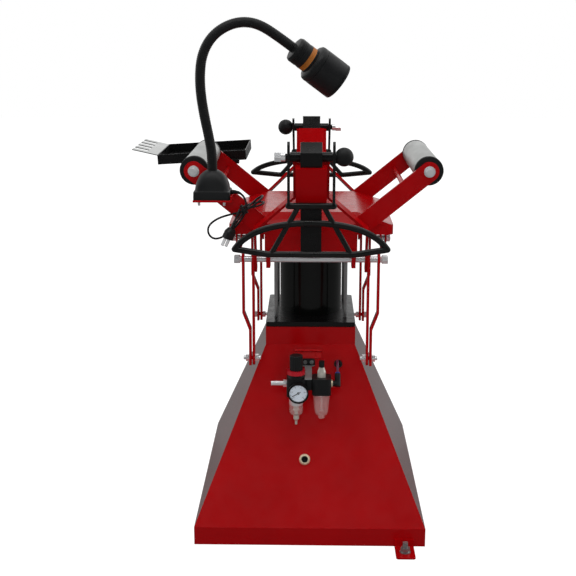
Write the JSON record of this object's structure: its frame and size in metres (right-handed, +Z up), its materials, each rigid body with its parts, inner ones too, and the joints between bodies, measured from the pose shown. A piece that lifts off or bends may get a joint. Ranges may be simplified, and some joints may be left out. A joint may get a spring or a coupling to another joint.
{
  "type": "tire changer machine",
  "caption": "Free-standing pneumatic tire spreader: pedestal, air-lifted carriage with tilted rollers, opposed spreader arms with claw frames, gooseneck lamp, tool tray and air preparation unit",
  "frame": {"origin": "on the floor under the middle of the pedestal", "axes": "+X to the operator's right, -Y toward the operator, +Z up"},
  "size_m": [0.663, 0.7554, 1.0241],
  "materials": {
    "red_paint": "gloss",
    "black_paint": "semi-gloss",
    "zinc_steel": "satin",
    "stainless": "brushed",
    "chrome": "polished",
    "brass": "satin",
    "black_plastic": "satin",
    "red_plastic": "gloss",
    "clear_bowl": "clear",
    "lamp_lens": "frosted",
    "cord_rubber": "satin",
    "hose_red": "gloss"
  },
  "bodies": {
    "base": {"base_shell": "red_paint", "base_bottom_plate": "red_paint", "cylinder_mount_plate": "black_paint", "cylinder_tube": "black_paint", "cylinder_top_cap": "black_paint", "tie_rods": "zinc_steel", "hanger_bracket": "red_paint", "foot_tab": "red_paint", "base_fasteners": "zinc_steel", "bulkhead_connector": "brass", "hose_grommet": "black_plastic", "air_hose": "hose_red", "frl_bracket": "black_paint", "regulator_body": "black_plastic", "regulator_lock_ring": "red_plastic", "gauge_case": "black_plastic", "gauge_lens": "clear_bowl", "filter_bowl": "clear_bowl", "lubricator_body": "black_plastic", "sight_dome": "brass", "lubricator_bowl": "clear_bowl", "inlet_nipple": "chrome", "outlet_elbow": "black_plastic"},
    "carriage": {"carriage_deck": "red_paint", "piston_rod": "chrome", "roller_arms": "red_paint", "roller_axles": "chrome", "cross_shafts": "chrome", "carriage_fasteners": "chrome", "lamp_plate": "red_paint", "lamp_base": "black_plastic", "gooseneck": "black_plastic", "lamp_cap": "black_plastic", "lamp_shade": "black_plastic", "lamp_lens": "lamp_lens", "tool_tray": "black_paint", "tool_comb": "stainless", "lamp_cord": "cord_rubber", "cord_tie": "cord_rubber", "plug": "cord_rubber"},
    "regulator_knob": {"regulator_knob": "black_plastic"},
    "gauge_needle": {"gauge_needle": "black_plastic"},
    "filter_drain": {"filter_drain": "chrome"},
    "lubricator_knob": {"lubricator_knob": "black_plastic"},
    "roller_left": {"roller_left": "zinc_steel"},
    "roller_right": {"roller_right": "zinc_steel"},
    "front_arm": {"front_yoke": "red_paint", "front_slide_bar": "black_paint", "front_hook_shaft": "chrome"},
    "rear_arm": {"rear_yoke": "red_paint", "rear_slide_bar": "black_paint", "rear_hook_shaft": "chrome"},
    "front_ball_knob": {"front_ball_knob": "black_plastic"},
    "rear_ball_knob": {"rear_ball_knob": "black_plastic"},
    "front_claw": {"front_claw_frame": "black_paint"},
    "rear_claw": {"rear_claw_frame": "black_paint"},
    "link_front_left": {"link_front_left": "red_paint"},
    "link_front_right": {"link_front_right": "red_paint"},
    "link_rear_left": {"link_rear_left": "red_paint"},
    "link_rear_right": {"link_rear_right": "red_paint"}
  },
  "joints": [
    {"name": "carriage_lift", "type": "slide", "parent": "base", "child": "carriage", "axis": [0, 0, 1], "range_m": [0, 0.15]},
    {"name": "roller_left_spin", "type": "hinge", "parent": "carriage", "child": "roller_left", "pos_m": [-0.23, 0, 0.731], "axis": [0, 1, 0], "continuous": true},
    {"name": "roller_right_spin", "type": "hinge", "parent": "carriage", "child": "roller_right", "pos_m": [0.23, 0, 0.731], "axis": [0, 1, 0], "continuous": true},
    {"name": "front_arm_pivot", "type": "hinge", "parent": "carriage", "child": "front_arm", "pos_m": [0, -0.168, 0.558], "axis": [-1, 0, 0], "range_deg": [0, 12]},
    {"name": "rear_arm_pivot", "type": "hinge", "parent": "carriage", "child": "rear_arm", "pos_m": [0, 0.168, 0.558], "axis": [1, 0, 0], "range_deg": [0, 12]},
    {"name": "front_claw_swing", "type": "hinge", "parent": "front_arm", "child": "front_claw", "pos_m": [0, -0.27739, 0.7742], "axis": [-1, 0, 0], "range_deg": [0, 135]},
    {"name": "rear_claw_swing", "type": "hinge", "parent": "rear_arm", "child": "rear_claw", "pos_m": [0, 0.27739, 0.7742], "axis": [1, 0, 0], "range_deg": [-45, 90]},
    {"name": "front_clamp_turn", "type": "hinge", "parent": "front_arm", "child": "front_ball_knob", "pos_m": [0, -0.27739, 0.7742], "axis": [1, 0, 0], "continuous": true},
    {"name": "rear_clamp_turn", "type": "hinge", "parent": "rear_arm", "child": "rear_ball_knob", "pos_m": [0, 0.27739, 0.7742], "axis": [1, 0, 0], "continuous": true},
    {"name": "link_front_left_swing", "type": "hinge", "parent": "carriage", "child": "link_front_left", "pos_m": [-0.124, -0.168, 0.558], "axis": [1, 0, 0], "range_deg": [-40, 40]},
    {"name": "link_front_right_swing", "type": "hinge", "parent": "carriage", "child": "link_front_right", "pos_m": [0.124, -0.168, 0.558], "axis": [1, 0, 0], "range_deg": [-40, 40]},
    {"name": "link_rear_left_swing", "type": "hinge", "parent": "carriage", "child": "link_rear_left", "pos_m": [-0.124, 0.168, 0.558], "axis": [1, 0, 0], "range_deg": [-40, 40]},
    {"name": "link_rear_right_swing", "type": "hinge", "parent": "carriage", "child": "link_rear_right", "pos_m": [0.124, 0.168, 0.558], "axis": [1, 0, 0], "range_deg": [-40, 40]},
    {"name": "regulator_turn", "type": "hinge", "parent": "base", "child": "regulator_knob", "pos_m": [-0.028, -0.21, 0.35], "axis": [0, 0, 1], "continuous": true},
    {"name": "lubricator_turn", "type": "hinge", "parent": "base", "child": "lubricator_knob", "pos_m": [0.0225, -0.21, 0.355], "axis": [0, 0, 1], "range_deg": [0, 300]},
    {"name": "drain_turn", "type": "hinge", "parent": "base", "child": "filter_drain", "pos_m": [-0.028, -0.21, 0.24], "axis": [0, 0, 1], "range_deg": [0, 90]},
    {"name": "needle_turn", "type": "hinge", "parent": "base", "child": "gauge_needle", "pos_m": [-0.0235, -0.245, 0.305], "axis": [0, 1, 0], "range_deg": [0, 240], "stiffness_Nm_per_rad": 0.001}
  ]
}
